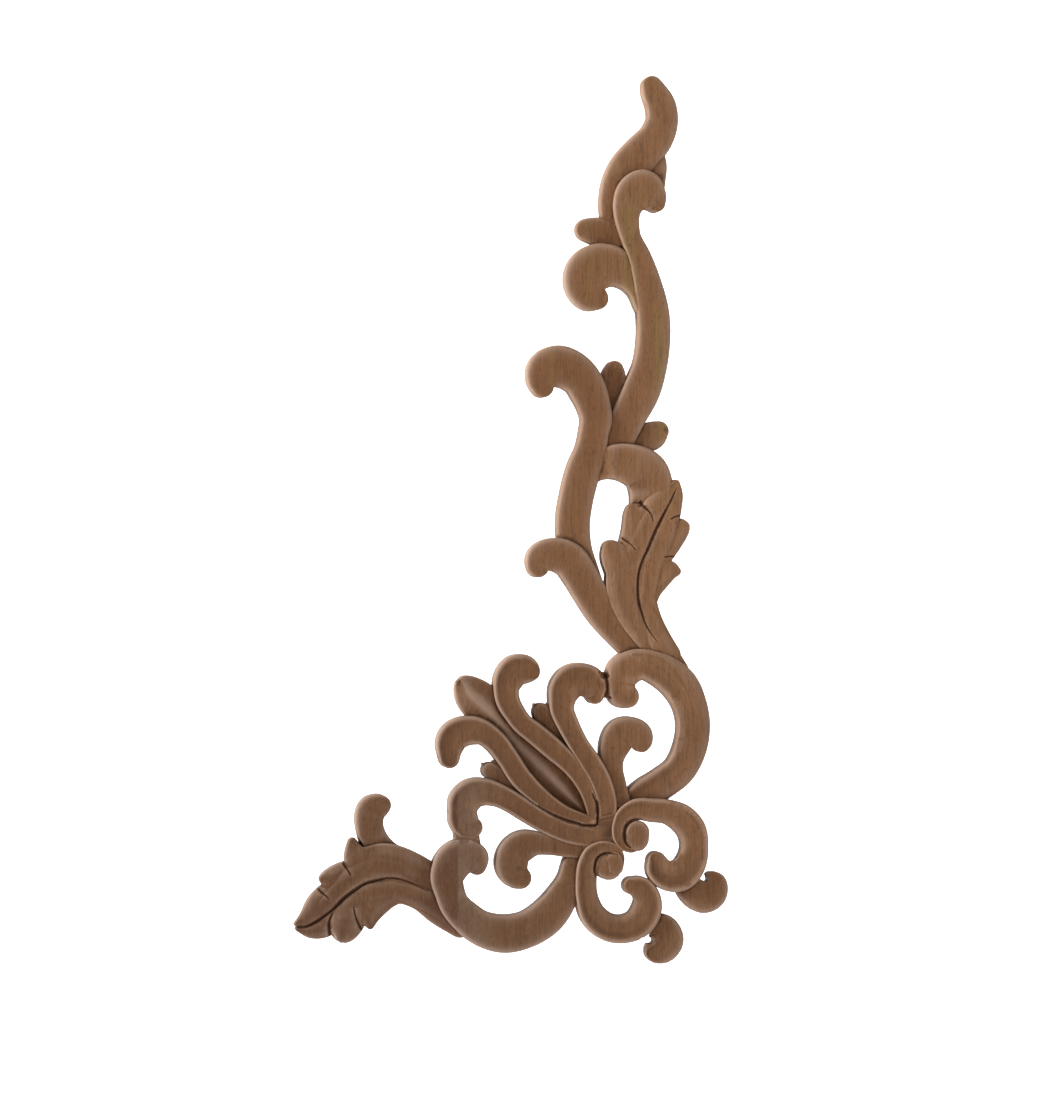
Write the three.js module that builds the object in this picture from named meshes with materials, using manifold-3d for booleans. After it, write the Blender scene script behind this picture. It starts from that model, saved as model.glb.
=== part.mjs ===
import * as THREE from 'three';
import { mergeVertices } from 'three/addons/utils/BufferGeometryUtils.js';
import Module from 'manifold-3d';

const wasm = await Module();
wasm.setup();

// A pierced, carved corner applique, upright as it is fixed: +X to the right, +Z up.
// Its flat back lies in the plane Y = 0 and its carved face looks towards -Y.
// The origin is on the back, behind the middle of the heart where the stems meet.
// The pose is drawn on a net of thousandths of the height, counted from the origin.

// Driving sizes in millimetres
const HEIGHT = 300; // foot of the lowest drop to the flame tip
const THICKNESS = 13; // flat back to the highest crown
const ROUNDING = 1.7; // fall from the crown of a full member to its arris
const FULL_MEMBER = 8.8; // a member this wide or wider has the whole rounding
const FINEST_POINT = 0.25; // least half width that a point of a leaf is cut to
const OVERCUT = 1; // how far the slots' cutter stands clear of the wood at both ends

// How finely the curves are faceted
const TURN_STEP = 0.5; // radians of turn for each facet
const LONGEST_FACET = 14; // millimetres
const CAP_STEPS = 3; // facets from a rounded end to its full width
const WELD = 0.004; // millimetres within which corners are one
const FOLD_REACH = 9; // half widths of edge within which a fold is looked for

const NET = HEIGHT / 1000;

// Cross sections: the place across, from one edge to the other, and the share of the rounding there
const ROLL = [[-1, 1], [-0.65, 0.2], [0, 0], [0.65, 0.2], [1, 1]];
const RIM = [[-1, 0.9], [-0.3, 0.55], [0.45, 0.35], [0.8, 0], [1, 0.5]];
const LEAF = [[-1, 0.15], [-0.5, 0.02], [0, 0], [0.6, 0.25], [1, 1]];
const KEEL = [[-1, 1], [-0.4, 0.36], [0, 0], [0.4, 0.36], [1, 1]];
const FLAT = [[-1, 0], [1, 0]];

// Each stroke of the carving: its name, its section, the side that the section's second edge is on,
// the levels of its crown as shares of the thickness, spread evenly from its start to its end, and
// the stations of its middle line as x, z and half width on the drawing net.
const STROKES = [
  // The low ground that the deep grooves are cut down to
  ['arm_bed', ROLL, 1, [0.52, 0.52], [
    [21, 698, 9], [24, 671, 11.5], [33, 653, 9]]],
  ['leaf_bed', ROLL, 1, [0.62, 0.62], [
    [79, 374, 4.5], [62, 341, 11.5], [49, 311, 17], [45, 277, 16], [51, 243, 13.5], [59, 217, 11.5]]],
  ['palmette_bed', ROLL, 1, [0.44, 0.46], [
    [-98, 110, 20.5], [-68, 77, 40.5], [-38, 47, 34], [-16, 24, 17]]],
  ['branch_bed', ROLL, 1, [0.52, 0.56], [
    [-336, -100, 3.5], [-316, -92, 9], [-293, -74, 16], [-273, -60, 20.5], [-248, -56, 21.5],
    [-214, -57, 18], [-183, -69, 13.5]]],
  // The upper arm, from the flame tip down to the oval opening
  ['tip_leaf', ROLL, 1, [0.80, 0.80, 0.74, 0.66], [
    [59, 845, 11.5], [62, 838, 14], [69, 824, 16.5], [71, 806, 17.5], [64, 787, 19.5], [49, 770, 21.5],
    [33, 753, 21], [22, 734, 19], [16, 712, 16], [16, 691, 13.5]]],
  ['tip_lobe', ROLL, 1, [0.60, 0.66, 0.66], [
    [57, 767, 10], [57, 756, 14.5], [52, 736, 16]]],
  ['left_bud', ROLL, 1, [0.64, 0.60], [
    [-14, 683, 13], [-2, 681, 16], [16, 676, 16]]],
  ['upper_scroll', RIM, 1, [0.96, 1.00, 0.98, 0.95, 0.92, 0.88, 0.82, 0.74], [
    [63, 713, 10.5], [60, 719, 14.5], [54, 725, 19], [48, 729, 21.5], [39, 724, 21], [32, 713, 17.5],
    [30, 702, 15], [31, 689, 13], [35, 673, 11.5], [45, 651, 13], [54, 620, 16], [60, 590, 18],
    [61, 561, 18.5], [57, 530, 19], [47, 501, 21], [32, 471, 19.5], [21, 444, 17]]],
  ['upper_volute', ROLL, 1, [0.86, 0.86, 0.86, 0.84], [
    [52, 597, 12.5], [44, 618, 14.5], [31, 633, 18], [13, 642, 23], [-5, 640, 26.5], [-14, 633, 25],
    [-17, 622, 22.5], [-12, 610, 18.5], [-3, 605, 12.5]]],
  ['fork_bud', ROLL, 1, [0.46, 0.58], [
    [13, 477, 3.5], [14, 497, 10], [16, 516, 14], [17, 525, 10.5]]],
  ['right_bud', ROLL, 1, [0.62, 0.68], [
    [34, 441, 4.5], [47, 448, 12], [58, 450, 16.5], [67, 456, 11.5]]],
  ['middle_scroll', ROLL, 1, [0.88, 0.88, 0.87, 0.85, 0.82, 0.78, 0.70], [
    [-65, 506, 12.5], [-66, 515, 16.5], [-60, 525, 21.5], [-49, 529, 23.5], [-36, 526, 23],
    [-22, 516, 21.5], [-13, 501, 20.5], [-7, 485, 18.5], [-4, 470, 17.5], [-7, 452, 16.5],
    [-10, 434, 17.5], [-18, 412, 19], [-26, 381, 19], [-30, 352, 19], [-27, 324, 18], [-16, 300, 14.5],
    [-2, 279, 8]]],
  ['arch', RIM, -1, [0.62, 0.80, 0.90, 0.90, 0.84, 0.70], [
    [-11, 405, 10], [-2, 416, 16], [15, 421, 19.5], [34, 419, 22.5], [52, 409, 25], [58, 390, 24],
    [53, 369, 18]]],
  ['lower_hook', ROLL, 1, [0.88, 0.90, 0.88, 0.84, 0.76], [
    [-70, 303, 12], [-70, 309, 13.5], [-66, 314, 16], [-57, 317, 18], [-46, 316, 19.5], [-34, 310, 20],
    [-23, 295, 19.5], [-13, 278, 19], [3, 252, 18], [22, 227, 15], [39, 207, 12.5]]],
  // The toothed leaf halfway up the arm, lobe by lobe
  ['leaf_left_3', LEAF, 1, [0.78, 0.82, 0.80], [
    [85, 400, 1.5], [77, 386, 7.5], [66, 375, 13.5], [59, 359, 16], [51, 338, 14.5], [41, 315, 10]]],
  ['leaf_left_2', LEAF, 1, [0.86, 0.86, 0.80], [
    [38, 366, 8.5], [42, 359, 14.5], [45, 345, 19], [39, 324, 17.5], [30, 294, 13.5]]],
  ['leaf_left_1', LEAF, 1, [0.90, 0.92, 0.92, 0.90, 0.82], [
    [13, 323, 10.5], [18, 314, 16.5], [26, 298, 19.5], [25, 277, 18], [30, 257, 15.5], [39, 239, 13],
    [49, 222, 10], [56, 209, 5.5]]],
  ['leaf_right_1', LEAF, -1, [0.78, 0.80, 0.78], [
    [87, 398, 3], [88, 385, 5.5], [84, 368, 8], [76, 348, 11.5], [65, 324, 11.5], [57, 304, 9]]],
  ['leaf_right_2', LEAF, -1, [0.80, 0.84, 0.80], [
    [97, 349, 4.5], [88, 345, 13], [77, 333, 16.5], [67, 315, 14.5], [58, 294, 11.5]]],
  ['leaf_right_3', LEAF, -1, [0.82, 0.87, 0.86], [
    [86, 298, 5.5], [77, 299, 11.5], [66, 292, 15], [57, 277, 12.5], [53, 261, 10]]],
  ['leaf_stem', LEAF, -1, [0.84, 0.86, 0.86, 0.78], [
    [59, 291, 12.5], [54, 277, 12], [53, 261, 10.5], [57, 244, 11.5], [65, 224, 12], [75, 205, 13.5],
    [87, 186, 13.5]]],
  // The large scrolls, the heart between them and its two hooks
  ['right_scroll', RIM, 1, [0.90, 0.92, 0.94, 0.96, 0.94, 0.90, 0.84, 0.74], [
    [31, 157, 13], [25, 160, 16], [23, 167, 16.5], [23, 176, 16.5], [27, 185, 19], [36, 191, 18.5],
    [50, 193, 17.5], [70, 186, 19.5], [90, 170, 20.5], [101, 150, 19], [106, 125, 18.5],
    [102, 98, 18.5], [90, 74, 18], [71, 59, 18], [49, 45, 18], [27, 27, 13.5]]],
  ['left_scroll', RIM, -1, [0.88, 0.90, 0.94, 0.94, 0.88, 0.84, 0.80, 0.72], [
    [-139, -33, 10.5], [-140, -28, 13.5], [-143, -24, 17], [-149, -22, 18.5], [-159, -24, 20.5],
    [-168, -33, 20.5], [-173, -46, 18.5], [-170, -62, 17], [-164, -77, 17], [-151, -91, 18.5],
    [-133, -104, 20], [-108, -110, 21.5], [-82, -105, 20.5], [-60, -91, 20.5], [-44, -71, 18],
    [-34, -50, 14], [-27, -29, 13.5], [-16, -16, 11.5]]],
  ['right_heart', RIM, -1, [0.88, 0.90, 0.94, 0.94, 0.92, 0.86], [
    [-6, 159, 10.5], [-7, 166, 13.5], [-10, 172, 17.5], [-18, 176, 18.5], [-30, 175, 19],
    [-39, 167, 18], [-43, 154, 15], [-43, 142, 13.5], [-37, 127, 12.5], [-25, 104, 11.5],
    [-11, 83, 12], [0, 63, 12], [7, 41, 11.5], [8, 16, 11.5]]],
  ['left_heart', RIM, 1, [0.88, 0.90, 0.93, 0.93, 0.92, 0.88], [
    [-144, 10, 11.5], [-150, 11, 15], [-154, 18, 16.5], [-155, 29, 16], [-153, 39, 17.5],
    [-144, 48, 17], [-131, 50, 15.5], [-115, 46, 13.5], [-99, 38, 12.5], [-82, 27, 12],
    [-62, 15, 11.5], [-40, 5, 11.5], [-18, 0, 11.5], [0, -2, 9]]],
  ['right_hook', ROLL, 1, [0.84, 0.86, 0.84, 0.80], [
    [47, 104, 10], [47, 108, 12.5], [43, 114, 16], [34, 117, 17.5], [24, 114, 18.5], [17, 102, 17],
    [14, 90, 14], [14, 77, 12], [18, 59, 11.5], [24, 41, 10]]],
  ['left_hook', ROLL, 1, [0.84, 0.86, 0.84, 0.80], [
    [-90, -47, 12.5], [-95, -44, 15], [-99, -38, 17], [-100, -29, 18.5], [-96, -18, 18],
    [-87, -11, 17.5], [-74, -8, 14], [-56, -11, 10.5], [-36, -15, 9], [-16, -16, 9]]],
  ['heart_root', ROLL, 1, [0.84, 0.84], [
    [-4, 0, 20.5], [25, 9, 20.5]]],
  ['right_tie', ROLL, 1, [0.84, 0.84], [
    [-2, 170, 14.5], [15, 170, 14.5]]],
  ['left_tie', ROLL, 1, [0.84, 0.84], [
    [-151, 5, 14.5], [-150, -12, 14.5]]],
  // The palmette on the diagonal
  ['palmette_leaf', KEEL, 1, [0.84, 0.80, 0.72, 0.64], [
    [-157, 174, 3], [-151, 169, 12], [-142, 158, 20.5], [-130, 147, 23], [-115, 132, 18.5],
    [-96, 108, 17], [-68, 80, 18.5], [-43, 55, 16], [-25, 36, 8], [-16, 26, 1.5]]],
  ['palmette_right', RIM, -1, [0.90, 0.93, 0.95, 0.93, 0.90, 0.86], [
    [-78, 185, 10], [-82, 187, 14], [-88, 188, 17], [-96, 186, 17.5], [-103, 177, 16.5],
    [-106, 167, 14.5], [-104, 152, 13.5], [-97, 139, 12.5], [-88, 127, 12], [-73, 115, 12.5],
    [-54, 99, 12.5], [-31, 77, 10.5], [-17, 55, 8.5], [-10, 35, 7], [-9, 19, 4.5]]],
  ['palmette_left', RIM, 1, [0.88, 0.90, 0.94, 0.93, 0.90, 0.86], [
    [-170, 88, 11.5], [-170, 96, 13.5], [-169, 104, 16], [-164, 113, 17], [-154, 118, 17],
    [-143, 119, 16], [-131, 116, 14], [-117, 105, 13], [-105, 89, 12.5], [-89, 65, 12.5],
    [-65, 42, 10.5], [-43, 27, 9], [-23, 20, 7], [-10, 18, 4.5]]],
  ['right_sprig', ROLL, 1, [0.70, 0.64], [
    [-66, 140, 10], [-61, 128, 11.5], [-48, 110, 10.5], [-34, 91, 9.5], [-20, 70, 9], [-9, 48, 8]]],
  ['left_sprig', ROLL, 1, [0.70, 0.64], [
    [-124, 74, 9.5], [-112, 66, 10], [-93, 53, 9], [-74, 41, 8.5], [-53, 28, 8], [-34, 19, 7]]],
  // The small scrolls at the corner, with their buttons and drops
  ['corner_left', RIM, 1, [0.84, 0.90, 0.94, 0.94, 0.90, 0.88, 0.88], [
    [23, -34, 3.5], [23, -24, 4.5], [16, -16, 7], [5, -14, 9], [-7, -20, 11.5], [-14, -34, 12],
    [-16, -51, 12], [-15, -68, 12.5], [-8, -88, 14.5], [8, -102, 16], [26, -105, 16], [43, -99, 16.5],
    [53, -84, 16.5], [54, -70, 14.5], [47, -59, 13], [36, -56, 10]]],
  ['corner_right', RIM, -1, [0.86, 0.92, 0.96, 0.98, 0.96, 0.92, 0.90], [
    [47, -15, 3.5], [36, -15, 4.5], [26, -10, 6], [21, -1, 7], [21, 10, 8], [27, 23, 9.5],
    [41, 30, 12], [58, 29, 13.5], [76, 27, 14], [92, 20, 16], [104, 6, 16], [107, -12, 15],
    [104, -29, 16.5], [94, -43, 17.5], [80, -46, 17], [68, -39, 15], [64, -28, 10.5]]],
  ['left_eye', ROLL, 1, [0.88, 0.88], [
    [9, -35, 14.5], [10, -35, 14.5]]],
  ['right_eye', ROLL, 1, [0.92, 0.92], [
    [41, 2, 14], [42, 2, 14]]],
  ['right_drop', ROLL, 1, [0.72, 0.76, 0.80], [
    [94, -55, 10], [104, -64, 14.5], [117, -69, 18.5], [126, -65, 18], [130, -55, 14], [127, -49, 8.5]]],
  ['left_drop', ROLL, 1, [0.72, 0.76, 0.80], [
    [64, -97, 9], [73, -105, 16], [77, -117, 18], [71, -126, 18], [63, -131, 11.5], [60, -128, 8.5]]],
  // The short arm: a toothed leaf with a hook on its back
  ['branch_hook', ROLL, 1, [0.76, 0.74, 0.70, 0.60], [
    [-247, 35, 11.5], [-251, 34, 14], [-257, 30, 16], [-260, 21, 16], [-259, 9, 15.5], [-254, -5, 16],
    [-243, -18, 16], [-223, -29, 13.5]]],
  ['branch_top_1', LEAF, -1, [0.66, 0.70, 0.68], [
    [-343, -99, 1.5], [-328, -90, 9], [-317, -77, 13.5], [-301, -64, 14.5], [-280, -51, 9]]],
  ['branch_top_2', LEAF, -1, [0.70, 0.72, 0.70], [
    [-310, -48, 6], [-301, -48, 12.5], [-289, -47, 17.5], [-275, -42, 16], [-257, -36, 9]]],
  ['branch_top_3', LEAF, -1, [0.72, 0.76, 0.74, 0.66], [
    [-278, -7, 5.5], [-275, -20, 12], [-264, -33, 21], [-243, -28, 20.5], [-221, -32, 18.5],
    [-198, -42, 16.5], [-175, -55, 14.5]]],
  ['branch_low_1', LEAF, 1, [0.66, 0.68, 0.68], [
    [-340, -104, 3], [-325, -106, 8.5], [-309, -101, 12], [-292, -88, 10], [-275, -72, 7]]],
  ['branch_low_2', LEAF, 1, [0.72, 0.74, 0.70], [
    [-291, -114, 5.5], [-287, -102, 17], [-280, -88, 19], [-269, -72, 16.5], [-248, -61, 11.5]]],
  ['branch_low_3', LEAF, 1, [0.70, 0.76, 0.74, 0.66], [
    [-259, -100, 4.5], [-260, -86, 13.5], [-253, -74, 17], [-241, -65, 16.5], [-226, -62, 14],
    [-202, -70, 14], [-180, -86, 15], [-158, -102, 12.5]]],
];

// Small slots right through the wood, where the drops curl back: name, stations
const SLOTS = [
  ['right_drop_slot', [[118, -45, 2.5], [119, -49, 3]]],
  ['left_drop_slot', [[50, -118, 3], [57, -117, 3]]],
];

// The share of the rounding at a place across a section, straight between its stations
function dropAt(section, place) {
  for (let i = 1; i < section.length; i += 1) {
    const [u0, d0] = section[i - 1];
    const [u1, d1] = section[i];
    if (place <= u1) {
      return d0 + (d1 - d0) * (place - u0) / (u1 - u0);
    }
  }
  return section[section.length - 1][1];
}

// Where two pieces of an edge cross, or null
function crossing(a, b, c, d) {
  const ab = b.clone().sub(a);
  const cd = d.clone().sub(c);
  const ac = c.clone().sub(a);
  const area = ab.cross(cd);
  if (Math.abs(area) < 1e-9) {
    return null;
  }
  const u = ac.cross(cd) / area;
  const v = ac.cross(ab) / area;
  const inside = u >= 0 && u <= 1 && v >= 0 && v <= 1;
  return inside ? a.clone().addScaledVector(ab, u) : null;
}

// On the inside of a tight turn an edge folds over itself: each loop, the widest first, is drawn in
// to the point where the edge crosses itself
function drawIn(edge, reach) {
  const run = [0];
  for (let i = 1; i < edge.length; i += 1) {
    run.push(run[i - 1] + edge[i].distanceTo(edge[i - 1]));
  }
  const meetings = [];
  for (let i = 0; i < edge.length - 3; i += 1) {
    for (let j = i + 2; j < edge.length - 1; j += 1) {
      const near = run[j + 1] - run[i] < Math.max(reach[i], reach[j]);
      const point = near ? crossing(edge[i], edge[i + 1], edge[j], edge[j + 1]) : null;
      if (point) {
        meetings.push({ i, j, point });
      }
    }
  }
  meetings.sort((a, b) => (b.j - b.i) - (a.j - a.i));
  const loops = [];
  for (const { i, j, point } of meetings) {
    if (loops.every(([from, to]) => i > to || j < from - 1)) {
      edge.fill(point, i + 1, j + 1);
      loops.push([i + 1, j]);
    }
  }
  return loops;
}

// One row across a stroke. The stroke is swept by a disc as wide as it is, so where the width changes
// the disc touches its edges a little before or behind its middle: that is the lean.
function rowAt(station, lean, past) {
  const { centre, heading, full } = station;
  const at = centre.clone().addScaledVector(heading, full * lean);
  return { ...station, at, half: full * Math.sqrt(Math.max(0, 1 - lean * lean)), past };
}

// The middle line of a stroke in millimetres: a smooth curve through its stations, finer at tight turns
function stationsAlong(rows) {
  const points = rows.map(([x, z, w]) => new THREE.Vector3(x, z, w).multiplyScalar(NET));
  const curve = new THREE.CatmullRomCurve3(points, false, 'centripetal');
  const spans = points.length - 1;
  const direction = (t) => {
    const tangent = curve.getTangent(t);
    return new THREE.Vector2(tangent.x, tangent.y).normalize();
  };
  const along = [];
  for (let span = 0; span < spans; span += 1) {
    const t0 = span / spans;
    const t1 = (span + 1) / spans;
    const turn = Math.acos(Math.min(1, direction(t0).dot(direction(t1))));
    const length = points[span].distanceTo(points[span + 1]);
    const steps = Math.max(1, Math.ceil(turn / TURN_STEP), Math.ceil(length / LONGEST_FACET));
    for (let k = 0; k < steps; k += 1) {
      along.push(t0 + (t1 - t0) * k / steps);
    }
  }
  along.push(1);
  return along.map((t) => {
    const point = curve.getPoint(t);
    const tangent = curve.getTangent(t);
    const growth = THREE.MathUtils.clamp(tangent.z / Math.hypot(tangent.x, tangent.y), -0.9, 0.9);
    return {
      centre: new THREE.Vector2(point.x, point.y),
      heading: direction(t),
      full: Math.max(point.z, FINEST_POINT),
      growth,
      t,
    };
  });
}

// A rounded end carries the width on to nothing, round the disc of its last station
function cap(station, sense) {
  const lean = -sense * station.growth;
  const start = Math.asin(lean);
  const added = [];
  for (let k = 1; k <= CAP_STEPS; k += 1) {
    const round = k < CAP_STEPS ? Math.sin(start + (Math.PI / 2 - start) * k / CAP_STEPS) : 1;
    added.push(rowAt(station, sense * round, (round - lean) / (1 - lean)));
  }
  return added;
}

// The level of a stroke's crown at a share of its way, smooth from each stated level to the next
function levelAt(levels, t) {
  const i = Math.min(levels.length - 2, Math.floor(t * (levels.length - 1)));
  const u = t * (levels.length - 1) - i;
  return levels[i] + (levels[i + 1] - levels[i]) * u * u * (3 - 2 * u);
}

// One stroke as a closed column from its foot up to its own carved surface
function strokeSolid([, section, side, levels, rows], foot) {
  const middle = stationsAlong(rows);
  const first = middle[0];
  const last = middle[middle.length - 1];
  const body = middle.map((station) => rowAt(station, -station.growth, 0));
  const line = [...cap(first, -1).reverse(), ...body, ...cap(last, 1)];
  const left = line.map(({ at, heading, half }) => (
    new THREE.Vector2(at.x - heading.y * half, at.y + heading.x * half)));
  const right = line.map(({ at, heading, half }) => (
    new THREE.Vector2(at.x + heading.y * half, at.y - heading.x * half)));
  const reach = line.map(({ full }) => FOLD_REACH * full);
  const folds = [[drawIn(left, reach), 0], [drawIn(right, reach), section.length - 1]];

  // The height of every corner of the carved surface above the back
  const stops = section.map(([u]) => side * u).sort((a, b) => a - b);
  const heights = line.map(({ full, past, t }) => {
    const level = THICKNESS * levelAt(levels, t);
    const fall = ROUNDING * Math.min(1, full / (FULL_MEMBER / 2));
    return stops.map((u) => {
      const out = Math.sqrt(Math.min(1, u * u * (1 - past * past) + past * past));
      const lean = out > 1e-6 ? u * Math.sqrt(1 - past * past) / out : 0;
      const far = dropAt(section, side * out);
      const near = dropAt(section, -side * out);
      return level - fall * (far * (1 + lean) / 2 + near * (1 - lean) / 2);
    });
  });
  for (const [loops, column] of folds) {
    for (const [from, to] of loops) {
      let sum = 0;
      for (let i = from; i <= to; i += 1) {
        sum += heights[i][column];
      }
      for (let i = from; i <= to; i += 1) {
        heights[i][column] = sum / (to - from + 1);
      }
    }
  }

  const corners = [];
  const top = line.map((_, i) => stops.map((u, j) => {
    const place = left[i].clone().lerp(right[i], (u + 1) / 2);
    corners.push(place.x, -heights[i][j], place.y);
    return corners.length / 3 - 1;
  }));
  const base = line.map((_, i) => [left[i], right[i]].map((place) => {
    corners.push(place.x, foot, place.y);
    return corners.length / 3 - 1;
  }));
  const faces = [];
  const quad = (a, b, c, d) => faces.push(a, b, c, a, c, d);
  const edge = stops.length - 1;
  for (let i = 1; i < line.length; i += 1) {
    for (let j = 1; j <= edge; j += 1) {
      quad(top[i - 1][j - 1], top[i - 1][j], top[i][j], top[i][j - 1]);
    }
    quad(base[i - 1][1], base[i - 1][0], base[i][0], base[i][1]);
    quad(base[i - 1][0], top[i - 1][0], top[i][0], base[i][0]);
    quad(top[i - 1][edge], base[i - 1][1], base[i][1], top[i][edge]);
  }
  const ends = [0, line.length - 1];
  for (const i of ends) {
    const rim = [base[i][0], ...top[i], base[i][1]];
    for (let k = 2; k < rim.length; k += 1) {
      const turn = i === 0 ? [rim[0], rim[k], rim[k - 1]] : [rim[0], rim[k - 1], rim[k]];
      faces.push(...turn);
    }
  }
  return closed(corners, faces);
}

// Corners that meet are welded, faces that have shrunk to nothing go, and the rest is one solid
function closed(corners, faces) {
  const loose = new THREE.BufferGeometry();
  loose.setAttribute('position', new THREE.Float32BufferAttribute(corners, 3));
  loose.setIndex(faces);
  const welded = mergeVertices(loose, WELD);
  const index = welded.index.array;
  const kept = [];
  for (let i = 0; i < index.length; i += 3) {
    const [a, b, c] = [index[i], index[i + 1], index[i + 2]];
    if (a !== b && b !== c && c !== a) {
      kept.push(a, b, c);
    }
  }
  return new wasm.Manifold(new wasm.Mesh({
    numProp: 3,
    vertProperties: new Float32Array(welded.attributes.position.array),
    triVerts: new Uint32Array(kept),
  }));
}

// Where strokes cross almost at one point the joined solid has edges shorter than the weld: the two
// ends of each become one corner, and the faces that shrink to nothing go
function withoutSplinters({ vertProperties, triVerts }) {
  const corner = (i) => new THREE.Vector3().fromArray(vertProperties, 3 * i);
  const owner = Array.from({ length: vertProperties.length / 3 }, (_, i) => i);
  const ownerOf = (i) => (owner[i] === i ? i : ownerOf(owner[i]));
  for (let i = 0; i < triVerts.length; i += 3) {
    for (let k = 0; k < 3; k += 1) {
      const a = triVerts[i + k];
      const b = triVerts[i + (k + 1) % 3];
      if (corner(a).distanceTo(corner(b)) < WELD) {
        owner[ownerOf(Math.max(a, b))] = ownerOf(Math.min(a, b));
      }
    }
  }
  const kept = [];
  for (let i = 0; i < triVerts.length; i += 3) {
    const [a, b, c] = [ownerOf(triVerts[i]), ownerOf(triVerts[i + 1]), ownerOf(triVerts[i + 2])];
    if (a !== b && b !== c && c !== a) {
      kept.push(a, b, c);
    }
  }
  const mesh = new wasm.Mesh({ numProp: 3, vertProperties, triVerts: new Uint32Array(kept) });
  return new wasm.Manifold(mesh).getMesh();
}

// All the strokes are one piece of wood, standing on the back plane
let carving = null;
for (const stroke of STROKES) {
  const solid = strokeSolid(stroke, 0);
  carving = carving ? carving.add(solid) : solid;
}
// The slots are cut from before the crowns to behind the back
for (const [name, stations] of SLOTS) {
  const level = (THICKNESS + OVERCUT) / THICKNESS;
  carving = carving.subtract(strokeSolid([name, FLAT, 1, [level, level], stations], OVERCUT));
}
const shell = withoutSplinters(carving.getMesh());
const geometry = new THREE.BufferGeometry();
geometry.setAttribute('position', new THREE.Float32BufferAttribute(shell.vertProperties, 3));
geometry.setIndex([...shell.triVerts]);
geometry.computeVertexNormals();

const wood = new THREE.MeshStandardMaterial({ color: 0x7a5b44, roughness: 0.68, metalness: 0 });
const applique = new THREE.Mesh(geometry, wood);
applique.name = 'carved_applique';

const part = new THREE.Group();
part.name = 'corner_applique';
part.add(applique);

export default part;
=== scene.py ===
"""A pierced, carved corner applique in bare hardwood, upright as it is fixed to a panel.

The carving is drawn as strokes. Each stroke has a middle line, which is a smooth curve through a few
stations, and a half width w along it. For a place t across, from -1 at one edge to 1 at the other,
the surface stands level * THICKNESS - ROUNDING * min(1, w / FULL_HALF) * drop(t) - arris(t) above the
back, where drop is the section of the stroke and arris rolls the last half millimetre over into the
side. Every stroke is a closed column from the flat back up to that surface. The columns are joined into
one piece of wood, and the lines and slots are cut out of it. X is to the right, Z up, and the carved
face looks towards -Y. Sizes are in metres.
"""

import math

import bpy
import numpy as np
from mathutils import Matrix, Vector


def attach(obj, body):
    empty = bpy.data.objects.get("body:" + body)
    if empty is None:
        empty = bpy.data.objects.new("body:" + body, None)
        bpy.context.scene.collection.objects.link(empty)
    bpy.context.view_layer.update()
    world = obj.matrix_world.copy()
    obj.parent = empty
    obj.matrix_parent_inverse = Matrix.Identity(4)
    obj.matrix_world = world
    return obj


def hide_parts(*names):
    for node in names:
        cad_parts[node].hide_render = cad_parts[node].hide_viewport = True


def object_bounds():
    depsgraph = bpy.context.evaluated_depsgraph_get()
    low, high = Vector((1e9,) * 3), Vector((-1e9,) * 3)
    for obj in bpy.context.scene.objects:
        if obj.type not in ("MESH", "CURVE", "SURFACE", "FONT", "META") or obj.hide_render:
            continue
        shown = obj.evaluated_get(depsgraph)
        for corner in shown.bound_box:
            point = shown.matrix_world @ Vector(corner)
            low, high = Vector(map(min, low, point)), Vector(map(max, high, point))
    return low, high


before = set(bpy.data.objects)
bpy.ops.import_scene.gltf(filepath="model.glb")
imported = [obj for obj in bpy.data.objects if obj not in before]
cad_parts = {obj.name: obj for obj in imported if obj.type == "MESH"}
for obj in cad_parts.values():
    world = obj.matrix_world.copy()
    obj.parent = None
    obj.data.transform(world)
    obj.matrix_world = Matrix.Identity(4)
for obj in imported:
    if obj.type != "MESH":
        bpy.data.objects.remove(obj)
CAD_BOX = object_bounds()

# The camera
# It stands a little to the left of the carving, so that the left sides of the members show as pale
# bands, and it looks level at the middle of the picture, 3 m away through a long lens.
MM = 0.001
AZIMUTH = math.radians(-4.5)
AIM = np.array([-25.3, -8.0, 95.1]) * MM
PICTURE_HEIGHT = 374.6 * MM
DISTANCE = 3.0
SENSOR = 36  # millimetres, along the picture's height
camera = bpy.data.objects.new("camera", bpy.data.cameras.new("camera"))
camera.data.sensor_width = SENSOR
camera.data.lens = SENSOR * DISTANCE / PICTURE_HEIGHT
camera.location = AIM + DISTANCE * np.array([math.sin(AZIMUTH), -math.cos(AZIMUTH), 0])
camera.rotation_euler = (math.radians(90), 0, AZIMUTH)
camera.data.clip_start, camera.data.clip_end = 0.05, 20
bpy.context.scene.collection.objects.link(camera)
bpy.context.scene.camera = camera

# The carved applique
# One piece of open-pored hardwood, carved in high relief and pierced right through. It is built from
# the strokes below, each a row of stations (x, z, half width) in thousandths of the height.
HEIGHT = 300 * MM  # foot of the lowest drop to the flame tip
THICKNESS = 13 * MM  # flat back to the highest crown
ROUNDING = 1.7 * MM  # fall from the crown of a full member to its arris
FULL_HALF = 4.4 * MM  # half width from which a member has the whole rounding
FINEST_POINT = 0.25 * MM  # least half width that a point of a leaf is cut to
ARRIS = 0.5 * MM  # how far in from the side the edge is rolled over
NET = HEIGHT / 1000

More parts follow.
